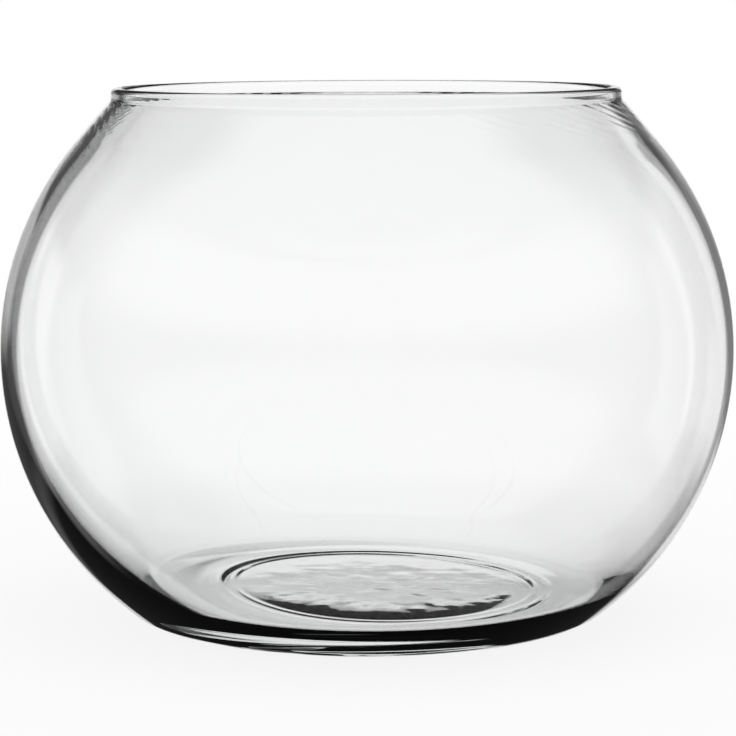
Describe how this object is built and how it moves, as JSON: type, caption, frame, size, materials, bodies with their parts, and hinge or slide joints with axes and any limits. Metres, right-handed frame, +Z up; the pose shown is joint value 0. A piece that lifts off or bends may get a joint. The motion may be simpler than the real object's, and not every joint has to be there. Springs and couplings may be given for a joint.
{
  "type": "rose bowl vase",
  "caption": "Round clear glass rose bowl vase with a wide open mouth, a fire-polished lip and a flat ring foot under a shallow recess.",
  "frame": {"origin": "centre of the foot, on the plane that the bowl rests on", "axes": "+Z up along the bowl's axis; the bowl is round about it"},
  "size_m": [0.2, 0.2, 0.1443],
  "materials": {
    "clear_glass": "clear, fire-polished"
  },
  "bodies": {
    "root": {"glass_bowl": "clear_glass"}
  },
  "joints": []
}
